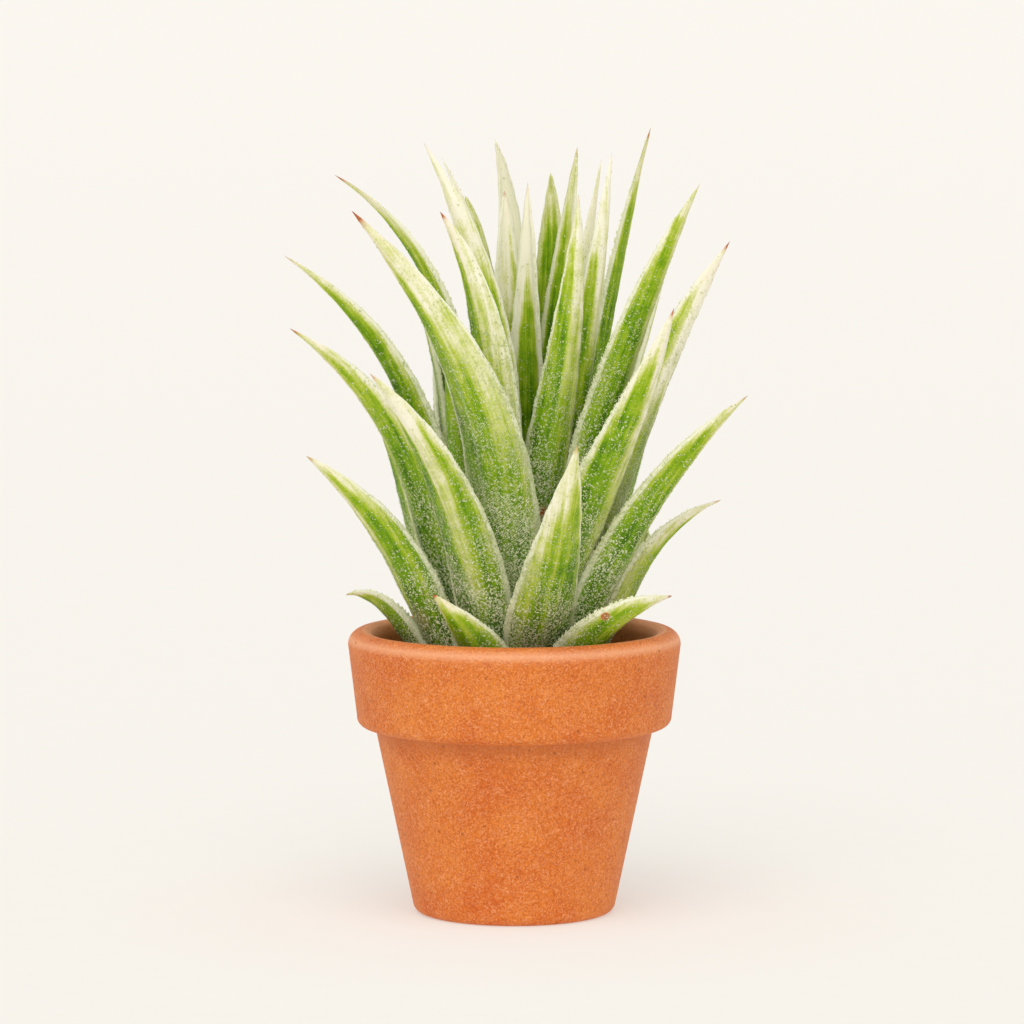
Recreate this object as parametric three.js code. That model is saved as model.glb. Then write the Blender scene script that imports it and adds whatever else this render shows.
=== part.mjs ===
// An air plant in a small clay pot: a stiff rosette of channelled leaves on a short stem, which
// stands in dark grit. Millimetres, +Z up, with the origin at the centre of the pot's foot.
// A viewer in front of the plant looks along +Y, so -Y is the front and +X is on the right.
import * as THREE from 'three';

// ---- driving dimensions -------------------------------------------------------------------

const POT = {
  height: 42.8,
  footRadius: 13.8,       // where the underside's flat ends
  footRounding: 1.5,
  shoulderRadius: 20.9,   // top of the tapered body, just under the collar
  shoulderHeight: 28.3,
  collarLowRadius: 23.7,  // widest part of the collar's lower edge
  collarHighRadius: 25.0, // widest part of the rim
  collarRounding: 1.4,
  crestRounding: 2.1,     // the rolled top of the rim is a half round of this radius
  innerRim: [20.5, 37],   // radius and height of each corner inside
  innerShoulder: [17.4, 27],
  innerFloor: [11.2, 4.2],
  drainRadius: 3,
  segments: 44,
};

const GRIT = { topHeight: 32.4, relief: 0.5, wallGap: 0.35, stemGap: 0.35, segments: 26 };

const STEM = {
  footHeight: 22,
  footRadius: 6,
  collarHeight: 33,   // widest, level with the grit
  collarRadius: 10.4,
  topHeight: 52,
  topRadius: 1.3,
  segments: 20,
};

const LEAF = {
  firstRoot: 34,        // height of the lowest leaf's root on the stem
  rootStep: 0.44,       // each leaf in the spiral springs this much higher than the one below it
  rootGap: 0.3,
  outerLean: 26,        // degrees from upright at which the lowest leaf leaves the stem
  innerLean: 3,         // the same for the innermost leaves
  leanTurns: 9,         // the lean falls by a factor e over this many places up the spiral
  sheath: 0.28,         // the straight start, as a share of the way from root to tip
  rootWidth: 0.55,      // width at the root, as a share of the widest
  widestAt: 0.3,        // share of the length at which the blade is widest
  taper: 2.4,           // the larger, the longer the blade keeps its width before the point
  tipWidth: 0.6,
  rootThickness: 0.8,
  fullThickness: 1.5,
  edgeThickness: 0.6,
  thickestAt: 0.4,      // share of the length at which the blade is thickest
  thinning: 1.3,
  maxClasp: 63,         // the most degrees by which each half of the root curls round the stem
  tipCurl: 60,          // degrees that each half of the blade curls inwards further up
  curledAt: 0.45,       // share of the length by which it has that curl
  lastSection: 0.985,   // share of the length at which the point begins
  sections: 10,
};

// ---- the leaves, outermost first ----------------------------------------------------------
// turn: place in the spiral up the stem, 0 is the lowest. azimuth: where the root sits on the
// stem, in degrees from +X towards +Y. width: across the flattened blade at its widest. twist:
// degrees by which the blade has turned about its centreline by the time it reaches its tip. The
// centreline passes through mid halfway and ends at tip.

const LEAVES = [
  // low leaves that bend out over the rim
  { turn: 0, azimuth: 178, width: 8, mid: [-16.5, 3, 43.5], tip: [-25.5, 4, 47.5] },
  { turn: 0, azimuth: 258, width: 8, mid: [-5, -14.5, 41.5], tip: [-12, -17, 50] },
  { turn: 0, azimuth: 308, width: 9.5, mid: [11.5, -13.5, 43.2], tip: [23.4, -12, 49.2] },
  { turn: 1, azimuth: 1, width: 7.5, twist: -20, mid: [17.3, 0.5, 50.2], tip: [31, -2, 62.5] },
  { turn: 0, azimuth: 103, width: 7.5, mid: [-2.5, 17.2, 43], tip: [-4, 28, 49.5] },
  { turn: 0, azimuth: 140, width: 8, mid: [-11.5, 14, 43.5], tip: [-13.5, 25, 52] },
  { turn: 0, azimuth: 66, width: 8, mid: [8, 15, 43.5], tip: [11, 26.5, 51] },
  { turn: 1, azimuth: 33, width: 6.5, mid: [16, 9.5, 46], tip: [20, 16, 57] },
  // outer leaves
  { turn: 3, azimuth: 202, width: 9, twist: 35, mid: [-16, -6, 52.6], tip: [-31, -6, 69.5] },
  { turn: 4, azimuth: 286, width: 10.5, mid: [5.3, -20, 52.3], tip: [9.1, -28.7, 73.1] },
  { turn: 5.5, azimuth: 328, width: 9, twist: -12, mid: [17.3, -9.5, 58.6], tip: [34.5, -12, 79] },
  { turn: 6, azimuth: 249, width: 9.2, mid: [-7.7, -17.5, 60], tip: [-21, -24, 83.1] },
  { turn: 5, azimuth: 164, width: 8.5, mid: [-14.5, 9, 57], tip: [-21.5, 10, 75] },
  { turn: 4.5, azimuth: 120, width: 9.5, mid: [-8.5, 17.8, 53.5], tip: [-9.5, 28, 67.5] },
  { turn: 4, azimuth: 80, width: 8, mid: [3.5, 18.3, 54.3], tip: [3, 29, 69] },
  { turn: 5.5, azimuth: 42, width: 8.5, mid: [13, 13.5, 56], tip: [16, 23.5, 72] },
  { turn: 9, azimuth: 186, width: 10, twist: 40, mid: [-14, -4, 64], tip: [-33.5, -5, 88.5] },
  { turn: 11, azimuth: 344, width: 9.5, twist: -40, mid: [16.5, -6, 70], tip: [32, -6, 101.5] },
  { turn: 10, azimuth: 296, width: 9.5, mid: [11.6, -14.05, 64], tip: [23.4, -17.5, 92.3] },
  { turn: 14, azimuth: 175, width: 8.5, twist: 40, mid: [-13, 0.5, 70.7], tip: [-34.5, 1, 99] },
  { turn: 8, azimuth: 104, width: 9, mid: [-4.5, 17, 65], tip: [-4.5, 26.5, 84] },
  { turn: 9, azimuth: 61, width: 9, mid: [9, 15, 66], tip: [10, 25, 86] },
  { turn: 8, azimuth: 17, width: 7, mid: [16, 7.5, 62], tip: [20.5, 10, 78] },
  // middle leaves
  { turn: 13, azimuth: 257.5, width: 11.4, mid: [-3.05, -15, 70], tip: [-23.9, -15, 106.4] },
  { turn: 13, azimuth: 34, width: 8, mid: [14.5, 10, 72], tip: [23, 13, 97] },
  { turn: 17, azimuth: 329, width: 8.5, twist: -20, mid: [13.5, -5.3, 76], tip: [27.5, -6, 110] },
  { turn: 22, azimuth: 166, width: 8.6, twist: 25, mid: [-7.4, 3.2, 79], tip: [-27, 3, 111] },
  { turn: 12, azimuth: 131, width: 8.5, mid: [-9.2, 12.9, 68.5], tip: [-10.5, 22, 88] },
  { turn: 13, azimuth: 82, width: 8.5, mid: [5, 15, 73], tip: [6, 22, 98] },
  { turn: 15.5, azimuth: 225, width: 4.7, mid: [-8, -7.1, 66], tip: [-9.5, -6, 88] },
  { turn: 17, azimuth: 146, width: 6.5, mid: [-9.5, 9, 75], tip: [-19.5, 11, 97.5] },
  // inner leaves, nearly upright
  { turn: 19, azimuth: 19, width: 8, twist: -25, mid: [11.4, 8.5, 78.5], tip: [20.5, 5.5, 118] },
  { turn: 24, azimuth: 290, width: 7.5, mid: [5.85, -8.3, 75], tip: [9.5, -7, 108.5] },
  { turn: 20.5, azimuth: 246, width: 8.5, mid: [-2.75, -10.3, 75], tip: [-11, -9, 106] },
  { turn: 30, azimuth: 231, width: 7.3, twist: 25, mid: [-2.5, -5.4, 79], tip: [-13.5, -3, 116] },
  { turn: 26, azimuth: 347, width: 7.5, twist: -30, mid: [9.2, -3.4, 77.5], tip: [14.5, -1, 114.5] },
  { turn: 33, azimuth: 352, width: 7, twist: -20, mid: [7, 0.3, 77], tip: [13, 1, 113.5] },
  { turn: 26, azimuth: 152, width: 6.5, mid: [-4.1, 5.6, 79], tip: [-11, 8, 113.5] },
  { turn: 27, azimuth: 51, width: 7, mid: [5.7, 7.2, 79.5], tip: [9.5, 7.5, 115] },
  { turn: 17, azimuth: 105, width: 7, mid: [-0.5, 13.5, 80], tip: [-3, 15, 116] },
  { turn: 20, azimuth: 67, width: 8, mid: [4.7, 10.5, 79.5], tip: [5.5, 11.5, 111] },
  { turn: 22.5, azimuth: 107, width: 5.5, mid: [-3.1, 9.9, 79], tip: [-7.5, 12, 107.5] },
  { turn: 31, azimuth: 99, width: 7, mid: [-0.8, 5.2, 80], tip: [-1.5, 6, 108.5] },
  { turn: 36, azimuth: 60, width: 7.6, mid: [2, 1.4, 77], tip: [2, 2, 110] },
  // short young leaves in the heart
  { turn: 36, azimuth: 180, width: 5.5, mid: [-2, -0.3, 58], tip: [-2, -1, 66] },
  { turn: 38, azimuth: 300, width: 5, mid: [1.4, -1.5, 58], tip: [1.5, -2, 65] },
];

// ---- small helpers ------------------------------------------------------------------------

const TURN_UP = Math.PI / 2;   // a lathe turns about Y: this stands it up on Z
const radians = THREE.MathUtils.degToRad;
const mix = THREE.MathUtils.lerp;

function lathe(points, segments) {
  const geometry = new THREE.LatheGeometry(points, segments);
  geometry.rotateX(TURN_UP);
  return geometry;
}

function piece(name, geometry, colour, roughness) {
  const material = new THREE.MeshStandardMaterial({ color: colour, roughness, metalness: 0 });
  const mesh = new THREE.Mesh(geometry, material);
  mesh.name = name;
  return mesh;
}

// ---- pot ----------------------------------------------------------------------------------

// The closed outline of the pot's wall, anticlockwise with the radius to the right.
function potOutline() {
  const { height, footRadius, footRounding, collarRounding, crestRounding, drainRadius } = POT;
  const path = new THREE.Path();
  path.moveTo(drainRadius, 0);
  path.lineTo(footRadius, 0);
  path.absarc(footRadius, footRounding, footRounding, -Math.PI / 2, 0, false);
  path.lineTo(POT.shoulderRadius, POT.shoulderHeight);
  path.absarc(
    POT.collarLowRadius - collarRounding, POT.shoulderHeight + collarRounding,
    collarRounding, -Math.PI / 2, 0, false,
  );
  path.absarc(
    POT.collarHighRadius - crestRounding, height - crestRounding, crestRounding, 0, Math.PI, false,
  );
  path.lineTo(...POT.innerRim);
  path.lineTo(...POT.innerShoulder);
  path.lineTo(...POT.innerFloor);
  path.lineTo(drainRadius, POT.innerFloor[1]);
  path.lineTo(drainRadius, 0);
  return path.getPoints(3);
}

// Inside radius of the pot at a height, less the gap that the grit keeps.
function gritRadius(z) {
  const [rimRadius, rimZ] = POT.innerRim;
  const [bendRadius, bendZ] = POT.innerShoulder;
  const [floorRadius, floorZ] = POT.innerFloor;
  const wall = z > bendZ
    ? mix(bendRadius, rimRadius, (z - bendZ) / (rimZ - bendZ))
    : mix(floorRadius, bendRadius, (z - floorZ) / (bendZ - floorZ));
  return wall - GRIT.wallGap;
}

// ---- grit ---------------------------------------------------------------------------------

function gritGeometry() {
  const floor = POT.innerFloor[1] + GRIT.wallGap;
  const rim = gritRadius(GRIT.topHeight);
  const hole = STEM.collarRadius + GRIT.stemGap;
  const holeFloor = STEM.footHeight - GRIT.stemGap;
  const top = [0, 0.25, 0.5, 0.75, 1].map(
    (share) => new THREE.Vector2(mix(rim, hole, share), GRIT.topHeight),
  );
  const points = [
    new THREE.Vector2(0, floor),
    new THREE.Vector2(gritRadius(floor), floor),
    new THREE.Vector2(gritRadius(POT.innerShoulder[1]), POT.innerShoulder[1]),
    ...top,
    new THREE.Vector2(hole, holeFloor),
    new THREE.Vector2(0, holeFloor),
  ];
  const geometry = lathe(points, GRIT.segments);
  const place = geometry.attributes.position;
  for (let i = 0; i < place.count; i += 1) {
    if (place.getZ(i) > GRIT.topHeight - 0.01) {
      const angle = Math.atan2(place.getY(i), place.getX(i));
      const radius = Math.hypot(place.getX(i), place.getY(i));
      const wave = Math.sin(5 * angle + radius) * Math.cos(3 * angle - 1.7 * radius);
      place.setZ(i, GRIT.topHeight + GRIT.relief * wave);
    }
  }
  return geometry;
}

// ---- stem ---------------------------------------------------------------------------------

function stemRadius(z) {
  const share = (z - STEM.collarHeight) / (STEM.topHeight - STEM.collarHeight);
  return mix(STEM.collarRadius, STEM.topRadius, share);
}

function stemGeometry() {
  const points = [
    new THREE.Vector2(0, STEM.footHeight),
    new THREE.Vector2(STEM.footRadius, STEM.footHeight),
    new THREE.Vector2(STEM.collarRadius, STEM.collarHeight - 4),
    new THREE.Vector2(STEM.collarRadius, STEM.collarHeight),
    new THREE.Vector2(STEM.topRadius, STEM.topHeight),
    new THREE.Vector2(0, STEM.topHeight + STEM.topRadius / 2),
  ];
  return lathe(points, STEM.segments);
}

// ---- leaves -------------------------------------------------------------------------------

function leafCurve(leaf) {
  const angle = radians(leaf.azimuth);
  const openness = Math.exp(-leaf.turn / LEAF.leanTurns);
  const lean = radians(mix(LEAF.innerLean, LEAF.outerLean, openness));
  const outward = new THREE.Vector3(Math.cos(angle), Math.sin(angle), 0);
  const z = LEAF.firstRoot + LEAF.rootStep * leaf.turn;
  const radius = stemRadius(z) + LEAF.rootGap + LEAF.rootThickness / 2;
  const root = outward.clone().multiplyScalar(radius).setZ(z);
  const tip = new THREE.Vector3(...leaf.tip);
  const mid = new THREE.Vector3(...leaf.mid);
  const start = outward.clone().multiplyScalar(Math.sin(lean)).setZ(Math.cos(lean));
  const low = root.clone().addScaledVector(start, LEAF.sheath * root.distanceTo(tip));
  // the second handle is where the curve passes through mid halfway
  const high = mid.clone().multiplyScalar(8).sub(root).addScaledVector(low, -3).sub(tip);
  return new THREE.CubicBezierCurve3(root, low, high.divideScalar(3), tip);
}

// Carries a direction along the curve without twisting it, and gives it at each share.
function leafFrames(curve, leaf, shares) {
  const angle = radians(leaf.azimuth);
  let level = new THREE.Vector3(-Math.sin(angle), Math.cos(angle), 0);
  const steps = 8;
  let last = 0;
  return shares.map((share) => {
    for (let i = 1; i <= steps; i += 1) {
      const along = curve.getTangent(mix(last, share, i / steps));
      level = level.clone().addScaledVector(along, -level.dot(along)).normalize();
    }
    last = share;
    const along = curve.getTangent(share);
    const turned = radians(leaf.twist ?? 0) * share * (2 - share);
    const across = level.clone().applyAxisAngle(along, turned);
    return { centre: curve.getPoint(share), across, inward: along.clone().cross(across) };
  });
}

// Width, curl and thickness of the blade at a share of its length: it clasps the stem at the
// root, swells, and runs out to a point.
function leafSection(leaf, share, rootRadius) {
  const swell = Math.sin(Math.min(share / LEAF.widestAt, 1) * Math.PI / 2);
  const fullWidth = leaf.width * mix(LEAF.rootWidth, 1, swell);
  const width = Math.max(fullWidth * (1 - share ** LEAF.taper), LEAF.tipWidth);
  const clasp = Math.min(leaf.width / 2 / Math.max(rootRadius, 3), radians(LEAF.maxClasp));
  const curl = mix(clasp, radians(LEAF.tipCurl), Math.min(share / LEAF.curledAt, 1));
  const thickening = Math.min(share / LEAF.thickestAt, 1) ** 2;
  const thinning = Math.max((share - LEAF.thickestAt) / (1 - LEAF.thickestAt), 0) ** LEAF.thinning;
  const stout = mix(LEAF.rootThickness, LEAF.fullThickness, thickening);
  return { half: width / 2, curl, thickness: mix(stout, LEAF.edgeThickness, thinning) };
}

// One closed ring of the blade: five points along the outer face and three along the inner.
function leafRing(frame, section) {
  const bend = section.half / Math.sin(section.curl);
  const middle = bend * (1 + Math.cos(section.curl)) / 2;   // half way into the channel
  const point = (turn, depth) => frame.centre.clone()
    .addScaledVector(frame.across, (bend + depth) * Math.sin(turn))
    .addScaledVector(frame.inward, middle - (bend + depth) * Math.cos(turn));
  const edge = Math.min(LEAF.edgeThickness, section.thickness) / 2;
  const outer = [-1, -0.5, 0, 0.5, 1].map((side) => {
    const depth = mix(section.thickness / 2, edge, side * side);
    return point(side * section.curl, depth);
  });
  const inner = [1, 0, -1].map((side) => {
    const depth = mix(section.thickness / 2, edge, side * side);
    return point(side * section.curl, -depth);
  });
  return [...outer, ...inner];
}

function leafGeometry(leaf) {
  const curve = leafCurve(leaf);
  const step = LEAF.lastSection / (LEAF.sections - 1);
  const shares = Array.from({ length: LEAF.sections }, (_, i) => step * i);
  const rootRadius = Math.hypot(curve.v0.x, curve.v0.y);
  const frames = leafFrames(curve, leaf, shares);
  const rings = frames.map((frame, i) => leafRing(frame, leafSection(leaf, shares[i], rootRadius)));
  const points = [...rings.flat(), curve.v3];
  const sides = rings[0].length;
  const faces = [];
  for (let ring = 0; ring < rings.length - 1; ring += 1) {
    for (let side = 0; side < sides; side += 1) {
      const a = ring * sides + side;
      const b = ring * sides + ((side + 1) % sides);
      faces.push(a, b, b + sides, a, b + sides, a + sides);
    }
  }
  const last = (rings.length - 1) * sides;
  for (let side = 0; side < sides; side += 1) {
    faces.push(last + side, last + ((side + 1) % sides), points.length - 1);
  }
  // the root end is closed by a strip between the outer face and the inner one
  faces.push(0, 7, 1, 1, 7, 6, 1, 6, 2, 2, 6, 3, 3, 6, 5, 3, 5, 4);
  const geometry = new THREE.BufferGeometry().setFromPoints(points);
  geometry.setIndex(faces);
  geometry.computeVertexNormals();
  return geometry;
}

// ---- assembly -----------------------------------------------------------------------------

const group = new THREE.Group();
group.add(piece('pot', lathe(potOutline(), POT.segments), 0xd9804a, 0.9));
group.add(piece('grit', gritGeometry(), 0x4a3a2e, 1));
group.add(piece('stem', stemGeometry(), 0x7a6242, 0.9));
LEAVES.forEach((leaf, i) => {
  const name = `leaf_${String(i + 1).padStart(2, '0')}`;
  group.add(piece(name, leafGeometry(leaf), 0x8fa86a, 0.75));
});

export default group;
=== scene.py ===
"""An air plant in a small terracotta pot, dressed for its picture.

Lengths are millimetres unless a comment says metres, and a mesh is made in metres. Angles in
named values are degrees. The plant faces -Y.
"""
import math

import bpy
import numpy as np
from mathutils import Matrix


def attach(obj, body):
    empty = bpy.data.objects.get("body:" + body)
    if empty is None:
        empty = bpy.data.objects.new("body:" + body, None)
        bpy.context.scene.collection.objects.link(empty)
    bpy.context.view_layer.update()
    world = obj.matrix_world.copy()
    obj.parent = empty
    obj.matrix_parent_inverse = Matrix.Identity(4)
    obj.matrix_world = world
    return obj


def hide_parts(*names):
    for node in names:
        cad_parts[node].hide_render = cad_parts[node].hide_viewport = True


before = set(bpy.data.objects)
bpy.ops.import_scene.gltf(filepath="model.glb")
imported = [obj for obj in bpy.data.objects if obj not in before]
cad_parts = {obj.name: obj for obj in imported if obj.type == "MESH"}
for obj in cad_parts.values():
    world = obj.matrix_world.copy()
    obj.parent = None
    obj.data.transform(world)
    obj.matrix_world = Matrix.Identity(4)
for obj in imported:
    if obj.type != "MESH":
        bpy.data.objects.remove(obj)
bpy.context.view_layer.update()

MM = 0.001


# ---- camera: a long lens, a little above the rim ----

CAMERA_PLACE = (-0.00034, -0.800, 0.1395)   # metres
CAMERA_PITCH = 84.36                        # from straight down
CAMERA_LENS, SENSOR_WIDTH = 188.2, 36
CAMERA_NEAR, CAMERA_FAR = 0.05, 50          # metres

camera = bpy.data.objects.new("camera", bpy.data.cameras.new("camera"))
bpy.context.scene.collection.objects.link(camera)
camera.location = CAMERA_PLACE
camera.rotation_euler = (math.radians(CAMERA_PITCH), 0, 0)
camera.data.sensor_width = SENSOR_WIDTH
camera.data.lens = CAMERA_LENS
camera.data.clip_start, camera.data.clip_end = CAMERA_NEAR, CAMERA_FAR
bpy.context.scene.camera = camera


# ---- helpers ----

MIX_A, MIX_B, MIX_RESULT = 6, 7, 2   # a Mix node's inputs for two colours, and its output


def colour(code):
    """An sRGB hex colour as the linear RGBA that a shader takes."""
    parts = [int(code[i:i + 2], 16) / 255 for i in (1, 3, 5)]
    linear = [c / 12.92 if c <= 0.04045 else ((c + 0.055) / 1.055) ** 2.4 for c in parts]
    return (*linear, 1)


def add_node(material, kind, links=(), stops=(), **settings):
    """Adds a node, sets its settings and the stops of its ramp, and sets or links each of its
    named inputs."""
    node = material.node_tree.nodes.new(kind)
    for name, value in settings.items():
        setattr(node, name, value)
    if stops:
        for element, (position, code) in zip(node.color_ramp.elements, (stops[0], stops[-1])):
            element.position, element.color = position, colour(code)
    for position, code in stops[1:-1]:
        node.color_ramp.elements.new(position).color = colour(code)
    for name, value in dict(links).items():
        if isinstance(value, bpy.types.NodeSocket):
            material.node_tree.links.new(value, node.inputs[name])
        else:
            node.inputs[name].default_value = value
    return node


def new_material(name):
    """An empty node material and its output node."""
    material = bpy.data.materials.new(name)
    material.use_nodes = True
    material.node_tree.nodes.clear()
    return material, add_node(material, "ShaderNodeOutputMaterial")


def finish_material(material, output, shader):
    """Links a finished shader to the material's output."""
    material.node_tree.links.new(shader.outputs[0], output.inputs["Surface"])
    return material


def ease(low, high, value):
    """0 below low, 1 above high, and a smooth step between."""
    share = np.clip((value - low) / (high - low), 0, 1)
    return share * share * (3 - 2 * share)


def mix(a, b, share):
    return a + (b - a) * share


def make_piece(name, points, faces, material, values=None):
    """A smooth mesh piece from points in millimetres and lists of faces, each list with one number
    of corners. It rides on the plant's one body."""
    mesh = bpy.data.meshes.new(name)
    corners = np.concatenate([np.full(len(part), len(part[0])) for part in faces])
    mesh.vertices.add(len(points))
    mesh.vertices.foreach_set("co", (np.asarray(points) * MM).astype(np.float32).ravel())
    mesh.loops.add(int(corners.sum()))
    mesh.loops.foreach_set(
        "vertex_index", np.concatenate([np.ravel(part) for part in faces]).astype(np.int32))
    mesh.polygons.add(len(corners))
    mesh.polygons.foreach_set(
        "loop_start", (np.cumsum(corners) - corners).astype(np.int32))
    mesh.update(calc_edges=True)
    for key, data in (values or {}).items():
        data = np.asarray(data, dtype=np.float32)
        if data.ndim == 1:
            mesh.attributes.new(key, "FLOAT", "POINT").data.foreach_set("value", data)
        else:
            layer = mesh.attributes.new(key, "FLOAT_VECTOR", "POINT")
            layer.data.foreach_set("vector", data.ravel())
    mesh.shade_smooth()
    mesh.materials.append(material)
    piece = bpy.data.objects.new(name, mesh)
    bpy.context.scene.collection.objects.link(piece)
    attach(piece, "root")
    return piece


def grid_faces(rows, columns):
    """Quads between the neighbouring rows of a grid of points, each row closed on itself."""
    across = np.arange(columns)
    row = np.arange(rows - 1)[:, None] * columns
    a = row + across
    b = row + (across + 1) % columns
    return np.stack([a, b, b + columns, a + columns], axis=-1).reshape(-1, 4)


# ---- terracotta: red earthenware, thrown, fired and left unglazed ----

def terracotta():
    """A dry matt surface: fine pale and dark grit in the orange clay, short pale curls, some pits,
    and clouds of a little more or less iron."""
    material, output = new_material("terracotta unglazed")
    place = add_node(material, "ShaderNodeTexCoord").outputs["Object"]
    # sizes in millimetres become a scale per metre: 1000 / size
    clouds = add_node(material, "ShaderNodeTexNoise", {
        "Vector": place, "Scale": 1000 / 9, "Detail": 5, "Roughness": 0.68})
    grain = add_node(material, "ShaderNodeTexNoise", {
        "Vector": place, "Scale": 1000 / 0.34, "Detail": 3, "Roughness": 0.65})
    dust = add_node(material, "ShaderNodeTexNoise", {
        "Vector": place, "Scale": 1000 / 0.85, "Detail": 2, "Distortion": 1.9})
    pits = add_node(material, "ShaderNodeTexVoronoi", {"Vector": place, "Scale": 1000 / 2.6})

    body = add_node(material, "ShaderNodeValToRGB", {"Fac": clouds.outputs["Fac"]},
                    stops=((0.35, "#e37727"), (0.68, "#f19036")))
    grained = add_node(material, "ShaderNodeValToRGB", {"Fac": grain.outputs["Fac"]},
                       stops=((0.34, "#cfa493"), (0.66, "#ffffff")))
    speckled = add_node(material, "ShaderNodeMix", {
        "Factor": 0.8, MIX_A: body.outputs["Color"], MIX_B: grained.outputs["Color"]},
        data_type="RGBA", blend_type="MULTIPLY")

    # a thin band of the distorted noise is a short curl
    curl = add_node(material, "ShaderNodeMath", {0: dust.outputs["Fac"], 1: 0.56},
                    operation="SUBTRACT")
    curl = add_node(material, "ShaderNodeMath", {0: curl.outputs[0]}, operation="ABSOLUTE")
    curl = add_node(material, "ShaderNodeMapRange", {
        "Value": curl.outputs[0], "From Min": 0.0, "From Max": 0.034, "To Min": 0.8, "To Max": 0.0})
    pit = add_node(material, "ShaderNodeMapRange", {
        "Value": pits.outputs["Distance"], "From Min": 0.05, "From Max": 0.11,
        "To Min": 0.75, "To Max": 0.0})

    # over the curls go a highlight painted along the crest of the rim and light painted on the wall
    # inside it, and painted shade that darkens the clay under the collar, where the collar shades
    # it
    painted_light = add_node(material, "ShaderNodeAttribute", attribute_name="painted_light")
    painted_shade = add_node(material, "ShaderNodeAttribute", attribute_name="painted_shade")
    coat = speckled
    for amount, code in ((curl.outputs[0], "#fbb27e"), (painted_light.outputs["Fac"], "#f9b68a"),
                         (painted_shade.outputs["Fac"], "#c2703a"), (pit.outputs[0], "#9c4c20")):
        coat = add_node(material, "ShaderNodeMix", {
            "Factor": amount, MIX_A: coat.outputs[MIX_RESULT], MIX_B: colour(code)},
            data_type="RGBA")

    relief = add_node(material, "ShaderNodeBump", {
        "Height": grain.outputs["Fac"], "Strength": 0.35, "Distance": 0.00012})
    relief = add_node(material, "ShaderNodeBump", {
        "Height": coat.outputs[MIX_RESULT], "Strength": 0.3, "Distance": 0.0001,
        "Normal": relief.outputs[0]})
    clay = add_node(material, "ShaderNodeBsdfPrincipled", {
        "Base Color": coat.outputs[MIX_RESULT], "Roughness": 0.6, "Specular IOR Level": 0.35,
        "Normal": relief.outputs[0]})
    return finish_material(material, output, clay)


# ---- leaf: a fleshy bromeliad blade under a felt of silver scales ----

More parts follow.
